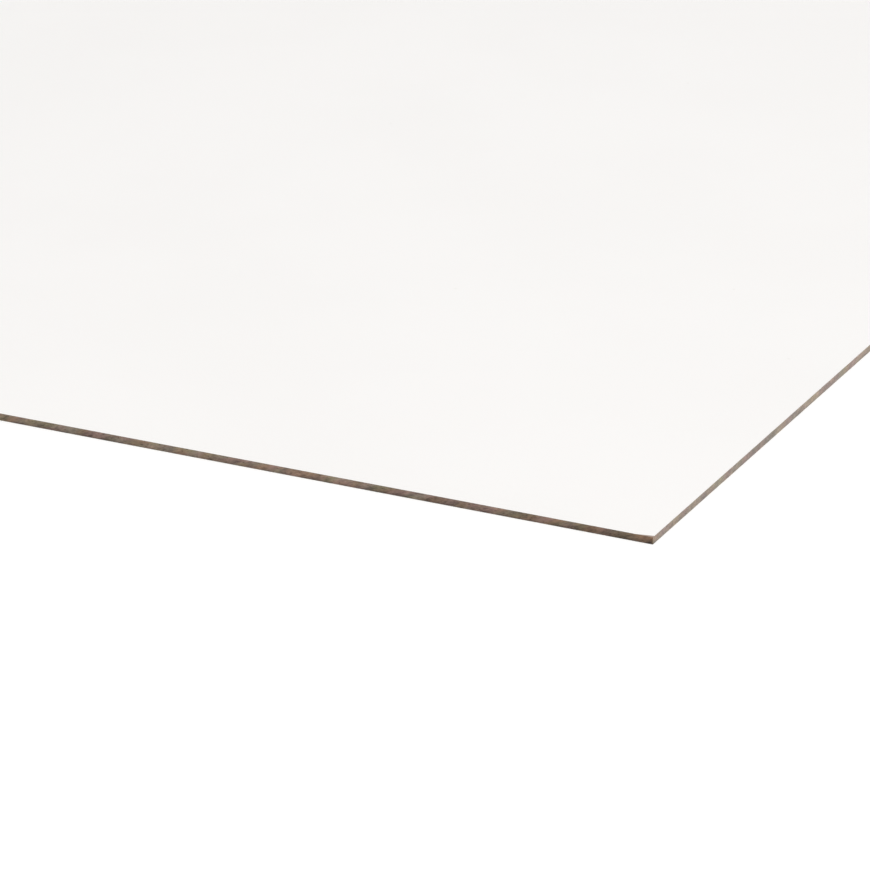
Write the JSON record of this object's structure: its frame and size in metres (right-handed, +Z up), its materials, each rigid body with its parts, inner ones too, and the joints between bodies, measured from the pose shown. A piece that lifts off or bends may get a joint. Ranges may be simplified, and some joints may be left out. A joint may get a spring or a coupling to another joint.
{
  "type": "medium-density fiberboard sheet",
  "caption": "Thin flat rectangular fiberboard sheet with a smooth white facing on its upper side, square-sawn brown edges and a bare brown back.",
  "frame": {"origin": "middle of the sheet's underside, the bare back that it lies on", "axes": "+Z up through the thickness, towards the white facing; +Y along the length; +X across the width"},
  "size_m": [0.61, 1.22, 0.003],
  "materials": {
    "raw_fiberboard": "matte",
    "white_facing": "satin"
  },
  "bodies": {
    "root": {"fiberboard": "raw_fiberboard", "white_facing": "white_facing"}
  },
  "joints": []
}
